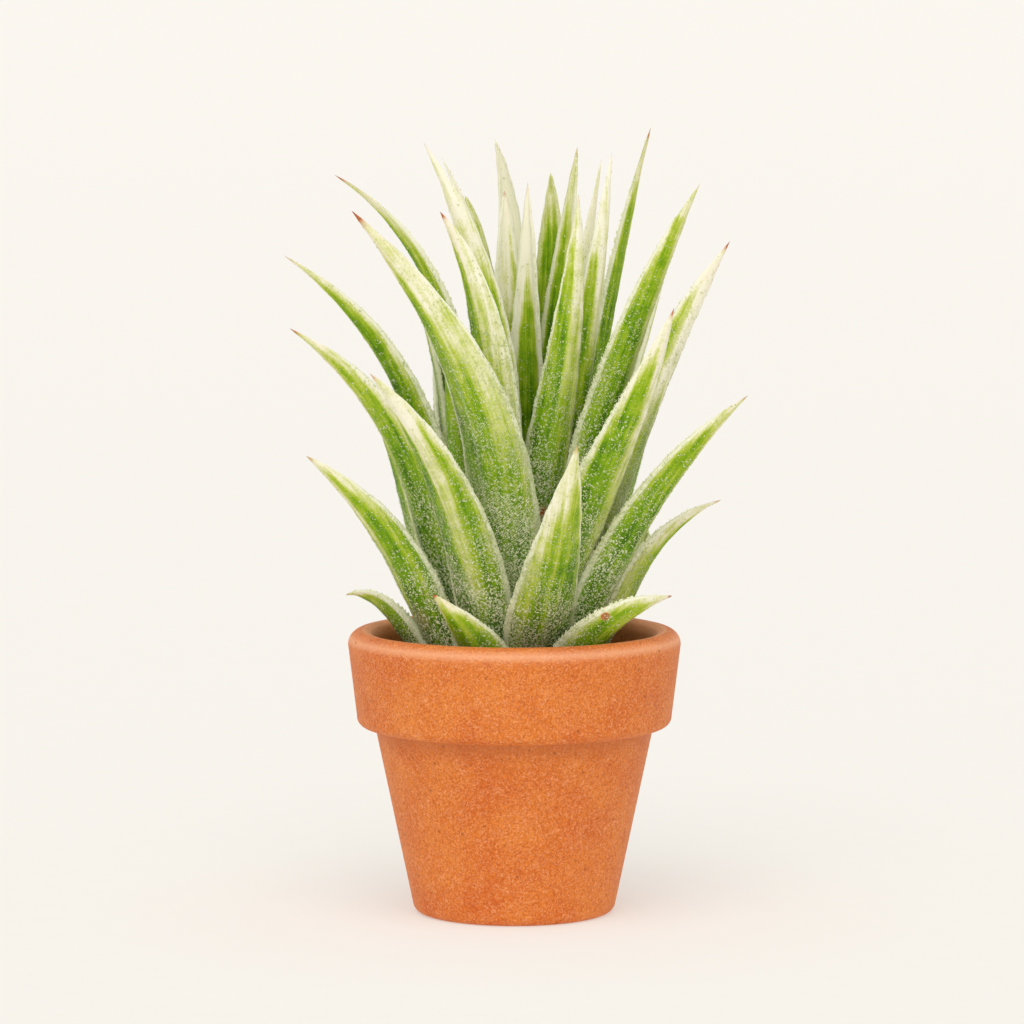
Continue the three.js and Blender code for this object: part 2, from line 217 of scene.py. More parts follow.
def felted_leaf():
    """Green flesh streaked along its fibres, yellow green at the borders of its wedges, cream where
    the blade thins out, brown at the needle tip, and dusted with silver. The mesh carries where
    each of these lies, and the fibres fray their borders."""
    material, output = new_material("leaf felted")
    blade = add_node(material, "ShaderNodeAttribute", attribute_name="blade").outputs["Vector"]
    pale, felt, brown = (
        add_node(material, "ShaderNodeAttribute", attribute_name=name).outputs["Fac"]
        for name in ("pale", "felt", "brown"))

    # blade is across, along and the leaf's own offset, in millimetres: fibres are long and thin
    stretched = add_node(material, "ShaderNodeVectorMath", {0: blade, 1: (1, 0.045, 1)},
                         operation="MULTIPLY")
    fibres = add_node(material, "ShaderNodeTexNoise", {
        "Vector": stretched.outputs[0], "Scale": 1 / 0.6, "Detail": 4, "Roughness": 0.7})
    blotches = add_node(material, "ShaderNodeTexNoise", {
        "Vector": blade, "Scale": 1 / 2.4, "Detail": 3})
    grain = add_node(material, "ShaderNodeTexNoise", {
        "Vector": blade, "Scale": 1 / 0.3, "Detail": 2, "Roughness": 0.7})
    scales = add_node(material, "ShaderNodeTexVoronoi", {"Vector": blade, "Scale": 1 / 0.42})

    # flesh, from deep green through yellow green to cream
    for pattern, amount in ((fibres, 0.75), (blotches, 0.3), (grain, 0.2)):
        pale = add_node(material, "ShaderNodeMath", {
            0: pattern.outputs["Fac"], 1: amount, 2: pale}, operation="MULTIPLY_ADD").outputs[0]
    flesh = add_node(material, "ShaderNodeValToRGB", {"Fac": pale}, stops=(
        (0.4, "#456f00"), (0.5, "#689502"), (0.6, "#8bae0e"), (0.7, "#afc238"),
        (0.8, "#ccd577"), (0.9, "#e8e7b6"), (1.0, "#f9f5de")))

    # silver: each cell of the pattern is one scale, and the felt says how many of them there are
    scale = add_node(material, "ShaderNodeMapRange", {
        "Value": scales.outputs["Distance"], "From Min": 0.24, "From Max": 0.42,
        "To Min": 0.8, "To Max": 0.0})
    chosen = add_node(material, "ShaderNodeSeparateColor", {"Color": scales.outputs["Color"]})
    chosen = add_node(material, "ShaderNodeMath", {0: chosen.outputs[0], 1: felt},
                      operation="LESS_THAN")
    scale = add_node(material, "ShaderNodeMath", {0: scale.outputs[0], 1: chosen.outputs[0]},
                     operation="MULTIPLY")
    bloom = add_node(material, "ShaderNodeMath", {0: felt, 1: 3.0}, operation="POWER")
    silver = add_node(material, "ShaderNodeMath", {
        0: scale.outputs[0], 1: 0.6, 2: bloom.outputs[0]}, operation="MULTIPLY_ADD",
        use_clamp=True)
    silvered = add_node(material, "ShaderNodeMix", {
        "Factor": silver.outputs[0], MIX_A: flesh.outputs["Color"], MIX_B: colour("#f5f5dc")},
        data_type="RGBA")

    # husk, pale brown where the blade has only begun to dry
    dried = add_node(material, "ShaderNodeMath", {
        0: fibres.outputs["Fac"], 1: 0.5, 2: brown}, operation="MULTIPLY_ADD")
    dried = add_node(material, "ShaderNodeMapRange", {
        "Value": dried.outputs[0], "From Min": 0.36, "From Max": 1.1})
    husk = add_node(material, "ShaderNodeValToRGB", {"Fac": dried.outputs[0]},
                    stops=((0, "#e8bf90"), (1, "#b9693c")))
    tipped = add_node(material, "ShaderNodeMix", {
        "Factor": dried.outputs[0], MIX_A: silvered.outputs[MIX_RESULT],
        MIX_B: husk.outputs["Color"]}, data_type="RGBA")

    relief = add_node(material, "ShaderNodeBump", {
        "Height": fibres.outputs["Fac"], "Strength": 0.35, "Distance": 0.0002})
    relief = add_node(material, "ShaderNodeBump", {
        "Height": silver.outputs[0], "Strength": 0.4, "Distance": 0.00008,
        "Normal": relief.outputs[0]})
    leaf = add_node(material, "ShaderNodeBsdfPrincipled", {
        "Base Color": tipped.outputs[MIX_RESULT], "Roughness": 0.5, "Specular IOR Level": 0.2,
        "Normal": relief.outputs[0]})
    return finish_material(material, output, leaf)


def silver_scale():
    """The leaf's dead, air-filled hairs: dry and thin, some nearly white and some straw grey."""
    material, output = new_material("leaf scale silver")
    tint = add_node(material, "ShaderNodeAttribute", attribute_name="tint").outputs["Fac"]
    shade = add_node(material, "ShaderNodeValToRGB", {"Fac": tint},
                     stops=((0, "#b4c472"), (0.5, "#f9f9d6")))
    hair = add_node(material, "ShaderNodeBsdfPrincipled", {
        "Base Color": shade.outputs["Color"], "Roughness": 0.5, "Specular IOR Level": 0.3,
        "Sheen Weight": 0.2})
    return finish_material(material, output, hair)


def dark_grit():
    """Fir bark and pumice crumbs, packed and dark with moisture."""
    material, output = new_material("grit bark and pumice")
    place = add_node(material, "ShaderNodeTexCoord").outputs["Object"]
    crumbs = add_node(material, "ShaderNodeTexVoronoi", {"Vector": place, "Scale": 1000 / 1.1})
    grain = add_node(material, "ShaderNodeTexNoise", {
        "Vector": place, "Scale": 1000 / 0.4, "Detail": 3})
    tint = add_node(material, "ShaderNodeSeparateColor", {"Color": crumbs.outputs["Color"]})
    shade = add_node(material, "ShaderNodeMath", {
        0: grain.outputs["Fac"], 1: 0.4, 2: tint.outputs[0]}, operation="MULTIPLY_ADD")
    earth = add_node(material, "ShaderNodeValToRGB", {"Fac": shade.outputs[0]},
                     stops=((0.2, "#2c1d12"), (1, "#7a5a3c")))
    relief = add_node(material, "ShaderNodeBump", {
        "Height": shade.outputs[0], "Strength": 0.6, "Distance": 0.0003})
    ground = add_node(material, "ShaderNodeBsdfPrincipled", {
        "Base Color": earth.outputs["Color"], "Roughness": 0.9, "Specular IOR Level": 0.2,
        "Normal": relief.outputs[0]})
    return finish_material(material, output, ground)


def stem_bark():
    """A short woody stem under the scars of old leaves: rings of pale and dark brown."""
    material, output = new_material("stem bark")
    place = add_node(material, "ShaderNodeTexCoord").outputs["Object"]
    rings = add_node(material, "ShaderNodeTexWave", {
        "Vector": place, "Scale": 1000 / 9, "Distortion": 4, "Detail": 3}, bands_direction="Z")
    bark = add_node(material, "ShaderNodeValToRGB", {"Fac": rings.outputs["Fac"]},
                    stops=((0, "#5a4328"), (1, "#9c8254")))
    relief = add_node(material, "ShaderNodeBump", {
        "Height": rings.outputs["Fac"], "Strength": 0.5, "Distance": 0.0004})
    wood = add_node(material, "ShaderNodeBsdfPrincipled", {
        "Base Color": bark.outputs["Color"], "Roughness": 0.85, "Specular IOR Level": 0.25,
        "Normal": relief.outputs[0]})
    return finish_material(material, output, wood)


def studio_paper():
    """Cream background paper with a soft even tooth, lit a little from behind."""
    material, output = new_material("background paper")
    place = add_node(material, "ShaderNodeTexCoord").outputs["Object"]
    tooth = add_node(material, "ShaderNodeTexNoise", {
        "Vector": place, "Scale": 1000 / 6, "Detail": 3})
    paper = add_node(material, "ShaderNodeValToRGB", {"Fac": tooth.outputs["Fac"]},
                     stops=((0, "#bdbcb8"), (1, "#c0beba")))
    sheet = add_node(material, "ShaderNodeBsdfPrincipled", {
        "Base Color": paper.outputs["Color"], "Roughness": 0.95, "Specular IOR Level": 0.0,
        "Emission Color": colour("#fffaf2"), "Emission Strength": 0.426})
    return finish_material(material, output, sheet)


TERRACOTTA = terracotta()
LEAF_SKIN = felted_leaf()
SCALE = silver_scale()
GRIT_MIX = dark_grit()
BARK = stem_bark()
PAPER = studio_paper()


# ---- pot ----

POT_HEIGHT, POT_SIDES = 42.8, 192
FOOT_RADIUS, FOOT_ROUNDING = 13.8, 1.5
SHOULDER_RADIUS, SHOULDER_HEIGHT = 20.9, 28.3
COLLAR_LOW_RADIUS, COLLAR_HIGH_RADIUS = 23.7, 25.0
COLLAR_ROUNDING, CREST_ROUNDING = 1.4, 2.1
INNER_RIM, INNER_SHOULDER, INNER_FLOOR = (20.5, 37), (17.4, 27), (11.2, 4.2)   # radius, height
DRAIN_RADIUS = 3
# the slip that fills the corner under the collar: how far it reaches, its middle and its foot
NOOK_ROUNDING, NOOK_MIDDLE, NOOK_SINK = 0.5, 0.14, 0.02

# a hand-finished rim is a few hundredths out of round: each wave's size, its turns and its start
RIM_WAVES = ((0.05, 2, 0.7), (0.03, 5, 2.1))
WAVES_FROM, WAVES_FULL = 24, 40
# strength, depth below the top and breadth of the highlight painted on the crest, and the painted
# light inside
CREST_HIGHLIGHT, HIGHLIGHT_DEPTH, HIGHLIGHT_BREADTH = 0.66, 1.2, 0.6
INNER_LIGHT, INNER_LIGHT_FROM, INNER_LIGHT_FULL = 0.45, 35, 42
# how dark the shade painted on the clay under the collar is, and how far below the collar it
# reaches
COLLAR_SHADE, COLLAR_SHADE_BREADTH = 0.5, 3.6


def arc(radius, height, rounding, first, last, steps):
    """Points of a round in the pot's outline, between two angles in degrees."""
    angles = np.radians(np.linspace(first, last, steps))
    return [(radius + rounding * math.cos(a), height + rounding * math.sin(a)) for a in angles]


def line(a, b, steps):
    """Points from a to b, both left out."""
    return [(mix(a[0], b[0], s), mix(a[1], b[1], s)) for s in np.linspace(0, 1, steps + 2)[1:-1]]


def pot_outline():
    """Radius and height of each point of the wall, from the drain hole round and back to it. The
    last number for each arc and line is how many points it has."""
    foot = arc(FOOT_RADIUS, FOOT_ROUNDING, FOOT_ROUNDING, -90, -8, 7)
    nook = [(SHOULDER_RADIUS - NOOK_SINK, SHOULDER_HEIGHT - NOOK_ROUNDING),
            (SHOULDER_RADIUS + NOOK_MIDDLE, SHOULDER_HEIGHT - NOOK_MIDDLE),
            (SHOULDER_RADIUS + NOOK_ROUNDING, SHOULDER_HEIGHT)]
    collar = arc(COLLAR_LOW_RADIUS - COLLAR_ROUNDING, SHOULDER_HEIGHT + COLLAR_ROUNDING,
                 COLLAR_ROUNDING, -90, 4, 8)
    crest = arc(COLLAR_HIGH_RADIUS - CREST_ROUNDING, POT_HEIGHT - CREST_ROUNDING,
                CREST_ROUNDING, 0, 180, 14)
    corners = [(DRAIN_RADIUS, 0), *line((DRAIN_RADIUS, 0), foot[0], 4), *foot,
               *line(foot[-1], nook[0], 22), *nook, *collar,
               *line(collar[-1], crest[0], 10), *crest,
               *line(crest[-1], INNER_RIM, 3), INNER_RIM, *line(INNER_RIM, INNER_SHOULDER, 6),
               INNER_SHOULDER, *line(INNER_SHOULDER, INNER_FLOOR, 8), INNER_FLOOR,
               *line(INNER_FLOOR, (DRAIN_RADIUS, INNER_FLOOR[1]), 4),
               (DRAIN_RADIUS, INNER_FLOOR[1])]
    return np.array(corners)


def make_pot():
    outline = pot_outline()
    turns = np.linspace(0, 2 * math.pi, POT_SIDES, endpoint=False)
    radius = np.tile(outline[:, 0], (POT_SIDES, 1))
    height = np.tile(outline[:, 1], (POT_SIDES, 1))
    swing = sum(size * np.sin(waves * turns + start) for size, waves, start in RIM_WAVES)
    radius += swing[:, None] * ease(WAVES_FROM, WAVES_FULL, height)
    points = np.stack([radius * np.cos(turns)[:, None], radius * np.sin(turns)[:, None], height],
                      axis=-1)
    faces = grid_faces(POT_SIDES + 1, len(outline)) % (POT_SIDES * len(outline))
    # painted highlight along the crest, and painted light on the upper wall inside the pot
    painted_light = CREST_HIGHLIGHT * np.exp(-((height - POT_HEIGHT + HIGHLIGHT_DEPTH) / HIGHLIGHT_BREADTH) ** 2)
    inside = radius < COLLAR_HIGH_RADIUS - CREST_ROUNDING
    painted_light = np.where(inside, INNER_LIGHT * ease(INNER_LIGHT_FROM, INNER_LIGHT_FULL, height), painted_light)
    body = (radius < SHOULDER_RADIUS + NOOK_ROUNDING) & (radius > INNER_SHOULDER[0] + 1)
    # painted shade: a darker band of clay just under the collar, where the collar shades it
    painted_shade = COLLAR_SHADE * ease(SHOULDER_HEIGHT - COLLAR_SHADE_BREADTH, SHOULDER_HEIGHT, height) * body
    piece = make_piece("clay_pot", points.reshape(-1, 3), [faces[:, ::-1]], TERRACOTTA,
                       {"painted_light": painted_light.ravel(), "painted_shade": painted_shade.ravel()})
    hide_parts("pot")


# ---- grit ----

GRIT_TOP, GRIT_RELIEF, WALL_GAP = 32.4, 0.5, 0.35
GRIT_SIDES, GRIT_RINGS, GRIT_FOOT_RADIUS, GRIT_ROUGHNESS = 120, 24, 11, 0.12
STEM_COLLAR_RADIUS, STEM_GAP, STEM_FOOT = 10.4, 0.35, 22
AXIS = 0.02   # the radius of a closed end
CRUMBS, CRUMB_SIZES, CRUMB_NEAREST = 620, (0.35, 0.85), 11.2
CRUMB_FLATNESS, CRUMB_LIFT = 0.7, 0.15   # shares of its size


def pot_inside(height):
    """The pot's inner radius at a height above its shoulder, less the gap to the grit."""
    share = (height - INNER_SHOULDER[1]) / (INNER_RIM[1] - INNER_SHOULDER[1])
    return mix(INNER_SHOULDER[0], INNER_RIM[0], share) - WALL_GAP


def grit_top(x, y):
    """Height of the grit's uneven surface."""
    angle, radius = np.arctan2(y, x), np.hypot(x, y)
    return GRIT_TOP + GRIT_RELIEF * np.sin(5 * angle + radius) * np.cos(3 * angle - 1.7 * radius)


def make_grit(rng):
    turns = np.linspace(0, 2 * math.pi, GRIT_SIDES, endpoint=False)
    rim, hole = pot_inside(GRIT_TOP), STEM_COLLAR_RADIUS + STEM_GAP
    floor, seat = INNER_FLOOR[1] + WALL_GAP, STEM_FOOT - STEM_GAP
    rings = [(AXIS, floor), (GRIT_FOOT_RADIUS, floor),
             (INNER_SHOULDER[0] - WALL_GAP, INNER_SHOULDER[1])]
    rings += [(radius, None) for radius in np.linspace(rim, hole, GRIT_RINGS)]
    rings += [(hole, seat), (AXIS, seat)]
    rows = []
    for radius, height in rings:
        x, y = radius * np.cos(turns), radius * np.sin(turns)
        if height is None:
            z = grit_top(x, y) + rng.normal(0, GRIT_ROUGHNESS, GRIT_SIDES)
        else:
            z = np.full(GRIT_SIDES, float(height))
        rows.append(np.stack([x, y, z], axis=-1))
    faces = grid_faces(len(rings), GRIT_SIDES)
    piece = make_piece("grit_bed", np.concatenate(rows), [faces], GRIT_MIX)
    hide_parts("grit")


def make_crumbs(rng):
    """Crumbs of bark and pumice that lie half sunk in the bed, each a dented icosahedron."""
    gold = (1 + math.sqrt(5)) / 2
    signs = ((1, 1), (-1, 1), (1, -1), (-1, -1))
    corner = np.array([(0, a, b * gold) for a, b in signs] + [(a, b * gold, 0) for a, b in signs]
                      + [(a * gold, 0, b) for a, b in signs])
    corner /= np.linalg.norm(corner[0])
    sides = np.array([(0, 1, 8), (0, 9, 1), (0, 5, 9), (0, 4, 5), (0, 8, 4), (1, 6, 8), (1, 7, 6),
                      (1, 9, 7), (8, 10, 4), (8, 6, 10), (4, 2, 5), (4, 10, 2), (5, 11, 9),
                      (5, 2, 11), (9, 11, 7), (6, 3, 10), (6, 7, 3), (10, 3, 2), (2, 3, 11),
                      (7, 11, 3)])
    points, faces = [], []
    for i in range(CRUMBS):
        angle = rng.uniform(0, 2 * math.pi)
        size = rng.uniform(*CRUMB_SIZES)
        farthest = pot_inside(GRIT_TOP) - size
        reach = math.sqrt(rng.uniform(CRUMB_NEAREST ** 2, farthest ** 2))
        x, y = reach * math.cos(angle), reach * math.sin(angle)
        dents, stretch = rng.uniform(0.75, 1.15, (len(corner), 1)), rng.uniform(0.6, 1.3, 3)
        spin = rng.uniform(0, 2 * math.pi)
        turned = (corner * dents * size * stretch) @ np.array([
            (math.cos(spin), -math.sin(spin), 0), (math.sin(spin), math.cos(spin), 0),
            (0, 0, CRUMB_FLATNESS)])
        points.append(turned + (x, y, grit_top(x, y) + CRUMB_LIFT * size))
        faces.append(sides + len(corner) * i)
    make_piece("grit_crumbs", np.concatenate(points), faces, GRIT_MIX)


# ---- leaves ----

STEM_COLLAR_HEIGHT, STEM_TOP_HEIGHT, STEM_TOP_RADIUS = 33, 52, 1.3
FIRST_ROOT, ROOT_STEP, ROOT_GAP = 34, 0.44, 0.3
OUTER_LEAN, INNER_LEAN, LEAN_TURNS = 26, 3, 9
SHEATH = 0.28   # the share of its reach over which a leaf keeps to its root's direction
ROOT_WIDTH, WIDEST_AT, TAPER, TIP_WIDTH = 0.55, 0.3, 2.4, 0.6
ROOT_THICKNESS, FULL_THICKNESS, EDGE_THICKNESS = 0.8, 1.5, 0.6
THICKEST_AT, THINNING = 0.4, 1.3
MAX_CLASP, LEAST_CLASPED, TIP_CURL, CURLED_AT = 63, 3, 60, 0.45
LAST_SECTION = 0.985
NEEDLE_WIDTH, NEEDLE_THICKNESS = 0.12, 0.35   # the second is a share of the plain blade's
LENGTH_STEPS, FRAME_STEPS = 200, 8

# place in the spiral, azimuth, width, twist, middle and tip of each leaf, outermost first
LEAVES = [
    (0, 178, 8, 0, (-16.5, 3, 43.5), (-25.5, 4, 47.5)),
    (0, 258, 8, 0, (-5, -14.5, 41.5), (-12, -17, 50)),
    (0, 308, 9.5, 0, (11.5, -13.5, 43.2), (23.4, -12, 49.2)),
    (1, 1, 7.5, -20, (17.3, 0.5, 50.2), (31, -2, 62.5)),
    (0, 103, 7.5, 0, (-2.5, 17.2, 43), (-4, 28, 49.5)),
    (0, 140, 8, 0, (-11.5, 14, 43.5), (-13.5, 25, 52)),
    (0, 66, 8, 0, (8, 15, 43.5), (11, 26.5, 51)),
    (1, 33, 6.5, 0, (16, 9.5, 46), (20, 16, 57)),
    (3, 202, 9, 35, (-16, -6, 52.6), (-31, -6, 69.5)),
    (4, 286, 10.5, 0, (5.3, -20, 52.3), (9.1, -28.7, 73.1)),
    (5.5, 328, 9, -12, (17.3, -9.5, 58.6), (34.5, -12, 79)),
    (6, 249, 9.2, 0, (-7.7, -17.5, 60), (-21, -24, 83.1)),
    (5, 164, 8.5, 0, (-14.5, 9, 57), (-21.5, 10, 75)),
    (4.5, 120, 9.5, 0, (-8.5, 17.8, 53.5), (-9.5, 28, 67.5)),
    (4, 80, 8, 0, (3.5, 18.3, 54.3), (3, 29, 69)),
    (5.5, 42, 8.5, 0, (13, 13.5, 56), (16, 23.5, 72)),
    (9, 186, 10, 40, (-14, -4, 64), (-33.5, -5, 88.5)),
    (11, 344, 9.5, -40, (16.5, -6, 70), (32, -6, 101.5)),
    (10, 296, 9.5, 0, (11.6, -14.05, 64), (23.4, -17.5, 92.3)),
    (14, 175, 8.5, 40, (-13, 0.5, 70.7), (-34.5, 1, 99)),
    (8, 104, 9, 0, (-4.5, 17, 65), (-4.5, 26.5, 84)),
    (9, 61, 9, 0, (9, 15, 66), (10, 25, 86)),
    (8, 17, 7, 0, (16, 7.5, 62), (20.5, 10, 78)),
    (13, 257.5, 11.4, 0, (-3.05, -15, 70), (-23.9, -15, 106.4)),
    (13, 34, 8, 0, (14.5, 10, 72), (23, 13, 97)),
    (17, 329, 8.5, -20, (13.5, -5.3, 76), (27.5, -6, 110)),
    (22, 166, 8.6, 25, (-7.4, 3.2, 79), (-27, 3, 111)),
    (12, 131, 8.5, 0, (-9.2, 12.9, 68.5), (-10.5, 22, 88)),
    (13, 82, 8.5, 0, (5, 15, 73), (6, 22, 98)),
    (15.5, 225, 4.7, 0, (-8, -7.1, 66), (-9.5, -6, 88)),
    (17, 146, 6.5, 0, (-9.5, 9, 75), (-19.5, 11, 97.5)),
    (19, 19, 8, -25, (11.4, 8.5, 78.5), (20.5, 5.5, 118)),
    (24, 290, 7.5, 0, (5.85, -8.3, 75), (9.5, -7, 108.5)),
    (20.5, 246, 8.5, 0, (-2.75, -10.3, 75), (-11, -9, 106)),
    (30, 231, 7.3, 25, (-2.5, -5.4, 79), (-13.5, -3, 116)),
    (26, 347, 7.5, -30, (9.2, -3.4, 77.5), (14.5, -1, 114.5)),
    (33, 352, 7, -20, (7, 0.3, 77), (13, 1, 113.5)),
    (26, 152, 6.5, 0, (-4.1, 5.6, 79), (-11, 8, 113.5)),
    (27, 51, 7, 0, (5.7, 7.2, 79.5), (9.5, 7.5, 115)),
    (17, 105, 7, 0, (-0.5, 13.5, 80), (-3, 15, 116)),
    (20, 67, 8, 0, (4.7, 10.5, 79.5), (5.5, 11.5, 111)),
    (22.5, 107, 5.5, 0, (-3.1, 9.9, 79), (-7.5, 12, 107.5)),
    (31, 99, 7, 0, (-0.8, 5.2, 80), (-1.5, 6, 108.5)),
    (36, 60, 7.6, 0, (2, 1.4, 77), (2, 2, 110)),
    (36, 180, 5.5, 0, (-2, -0.3, 58), (-2, -1, 66)),
    (38, 300, 5, 0, (1.4, -1.5, 58), (1.5, -2, 65)),
]

# How each leaf is marked. A place across it is from -1 to 1, and one along it from 0 at the root to
# 1 at the tip. keel: where across it the ridge runs, ridge how far it stands out, and crease how
# far up it is silvery. green: the wedges of green flesh, each with its middle, its half width at
# the root, where along the leaf it comes to a point and how deep its green is; all between them is
# pale. cream: how pale that is. tone: more is a yellower green, less a deeper one. felt: how
# silvery the leaf is, and margin its edges. dry and tip: how brown the root and the tip are.
# dried: brown spots on the outer face, each with its place along and across, half its length and
# half its breadth, and how brown it is.
PLAIN_LOOK = dict(keel=0, ridge=0.7, crease=0.6, green=((0, 0.78, 0.97, 1),), cream=1, tone=0,
                  felt=1, margin=1, dry=0.35, tip=0.7, dried=())
LOOKS = {
    1: dict(green=((0.35, 0.6, 0.97, 1),), tone=0.02, felt=0.7),
    2: dict(green=((0, 0.75, 0.97, 1),), tone=0.02, tip=1.2),
    3: dict(green=((-0.15, 0.55, 0.98, 1),), tone=0.03, cream=1.2, tip=1,
            dried=((0.66, -0.72, 0.02, 0.13, 2),)),
    4: dict(green=((0.1, 0.45, 0.98, 1), (-0.45, 0.2, 0.7, 0.5)), tone=0.06, cream=1.1),
    9: dict(green=((0.18, 0.28, 0.99, 1), (0.75, 0.15, 0.8, 1)), felt=0.8, cream=1.1,
            dried=((0.3, 0.05, 0.06, 0.3, 0.3),)),
    10: dict(green=((-0.3, 0.2, 0.9, 0.8), (0.4, 0.42, 0.98, 1)), tone=-0.02, cream=1.35,
             dried=((0.58, -0.12, 0.08, 0.05, 0.35), (0.45, -0.3, 0.06, 0.06, 0.3))),
    11: dict(green=((-0.32, 0.46, 0.98, 1),)),
    12: dict(green=((-0.6, 0.36, 0.95, 1), (0.5, 0.2, 0.88, 0.9)), tone=-0.02, cream=1.5),
    17: dict(green=((0.2, 0.42, 0.99, 1),), cream=1.1, tip=1),
    18: dict(green=((-0.55, 0.36, 0.97, 1), (0.2, 0.22, 0.75, 0.9)), tone=0.09, cream=1.4,
             felt=1.8, tip=1.1),
    19: dict(green=((-0.25, 0.46, 0.96, 1),), tone=-0.03, cream=1.6, tip=1),
    20: dict(green=((0.2, 0.5, 0.99, 1),), felt=0.7, cream=1.1, tip=0.6),
    24: dict(keel=-0.27, crease=0.95,
             green=((-0.58, 0.46, 0.98, 1), (0.05, 0.24, 0.82, 0.75), (0.5, 0.2, 0.6, 0.8)),
             cream=1.25, felt=1.3, tip=1.1),
    25: dict(green=((0, 0.3, 0.5, 1),), cream=1.2, felt=0.3),
    26: dict(green=((-0.3, 0.52, 0.96, 1),), tone=-0.01, tip=0.3),
    27: dict(green=((0.12, 0.32, 0.98, 1), (0.64, 0.25, 0.88, 1)), felt=0.5, tip=1),
    32: dict(green=((-0.42, 0.42, 0.98, 1),), tone=-0.02, felt=0.5, tip=0.9),
    33: dict(green=((-0.5, 0.4, 0.98, 1), (0.15, 0.25, 0.62, 0.8)), cream=1.2, tip=0.4,
             dried=((0.275, -0.1, 0.03, 0.4, 1.2),)),
    34: dict(green=((-0.5, 0.5, 0.99, 1), (0.3, 0.16, 0.7, 0.8)), felt=1.2, cream=1.3, tip=1),
    35: dict(green=((-0.45, 0.2, 0.9, 0.8), (0.42, 0.35, 0.86, 0.9)), tone=0.04, felt=0.4,
             cream=1.3, tip=0.3),
    36: dict(green=((-0.55, 0.35, 0.88, 1), (0, 0.4, 0.7, 0.9)), tone=0.03, felt=0.6, cream=1.4,
             tip=0.2),
    37: dict(green=((-0.35, 0.5, 0.83, 0.8),), tone=0.1, felt=0.4, cream=1.3, tip=0.2),
    38: dict(green=((0, 0.5, 0.8, 0.6),), tone=0.14, felt=0.3, cream=1.2, tip=0),
    39: dict(green=((0.35, 0.42, 0.95, 1),), felt=0.3, tip=0.4),
    40: dict(green=((0.1, 0.4, 0.9, 0.6),), tone=0.14, felt=0.3, cream=1.2, tip=0),
    41: dict(green=((0, 0.9, 0.95, 1),), felt=0.2, margin=0.5, tip=0.2),
    42: dict(green=((0, 0.8, 0.95, 1),), felt=0.3, margin=0.5, tip=0),
    43: dict(green=((-0.6, 0.3, 0.93, 0.9), (0.1, 0.6, 0.72, 1)), tone=0.12, felt=0.3,
             cream=1.3, tip=0.7),
    44: dict(keel=-0.3, green=((-0.05, 0.72, 0.86, 1),), tone=0.05, felt=0.3, cream=1.7, tip=0.3),
}


def unit(vector):
    return vector / np.linalg.norm(vector)


class Blade:
    """One leaf: its centreline, the frame it carries along it, and the sections on that."""

    def __init__(self, number, row):
        turn, azimuth, width, twist, mid, tip = row
        self.number, self.width, self.twist = number, width, math.radians(twist)
        angle = math.radians(azimuth)
        lean = math.radians(mix(INNER_LEAN, OUTER_LEAN, math.exp(-turn / LEAN_TURNS)))
        outward = np.array([math.cos(angle), math.sin(angle), 0])
        height = FIRST_ROOT + ROOT_STEP * turn
        stem = mix(STEM_COLLAR_RADIUS, STEM_TOP_RADIUS,
                   (height - STEM_COLLAR_HEIGHT) / (STEM_TOP_HEIGHT - STEM_COLLAR_HEIGHT))
        self.root_radius = stem + ROOT_GAP + ROOT_THICKNESS / 2
        root = outward * self.root_radius + (0, 0, height)
        mid, tip = np.array(mid, float), np.array(tip, float)
        start = outward * math.sin(lean) + (0, 0, math.cos(lean))
        low = root + start * SHEATH * np.linalg.norm(tip - root)
        high = (8 * mid - root - 3 * low - tip) / 3
        self.handles = root, low, high, tip
        self.level = np.array([-math.sin(angle), math.cos(angle), 0])
        samples = self.centre(np.linspace(0, 1, LENGTH_STEPS))
        self.length = np.linalg.norm(np.diff(samples, axis=0), axis=1).sum()

    def centre(self, share):
        """Points of the centreline at each share of it."""
        share = np.asarray(share, float)[..., None]
        a, b, c, d = self.handles
        rest = 1 - share
        return (a * rest ** 3 + 3 * b * rest ** 2 * share + 3 * c * rest * share ** 2
                + d * share ** 3)

    def along(self, share):
        """Direction of the centreline at a share of it."""
        a, b, c, d = self.handles
        rest = 1 - share
        return unit((b - a) * rest ** 2 + 2 * (c - b) * rest * share + (d - c) * share ** 2)

    def frames(self, shares):
        """Directions across the blade and towards its inner face, at each share."""
        level, last, across, inward = self.level, 0.0, [], []
        for share in shares:
            for step in range(1, FRAME_STEPS + 1):
                tangent = self.along(mix(last, share, step / FRAME_STEPS))
                level = unit(level - tangent * level.dot(tangent))
            last = share
            tangent = self.along(share)
            turned = self.twist * share * (2 - share)
            side = level * math.cos(turned) + np.cross(tangent, level) * math.sin(turned)
            across.append(side)
            inward.append(np.cross(tangent, side))
        return np.array(across), np.array(inward)

    def section(self, share):
        """Half the width, half the angle of the arc and the thickness at each share."""
        swell = np.sin(np.minimum(share / WIDEST_AT, 1) * math.pi / 2)
        width = self.width * mix(ROOT_WIDTH, 1, swell) * (1 - share ** TAPER)
        clasp = min(self.width / 2 / max(self.root_radius, LEAST_CLASPED),
                    math.radians(MAX_CLASP))
        curl = mix(clasp, math.radians(TIP_CURL), np.minimum(share / CURLED_AT, 1))
        stout = mix(ROOT_THICKNESS, FULL_THICKNESS, np.minimum(share / THICKEST_AT, 1) ** 2)
        thinned = np.maximum((share - THICKEST_AT) / (1 - THICKEST_AT), 0) ** THINNING
        # the plain solid ends blunt: the real blade runs out to a needle
        width = mix(np.maximum(width, TIP_WIDTH), np.maximum(width, NEEDLE_WIDTH),
                    ease(0.8, 0.95, share))
        needle = mix(1, NEEDLE_THICKNESS, ease(0.82, 1.0, share))
        return width / 2, curl, mix(stout, EDGE_THICKNESS, thinned) * needle


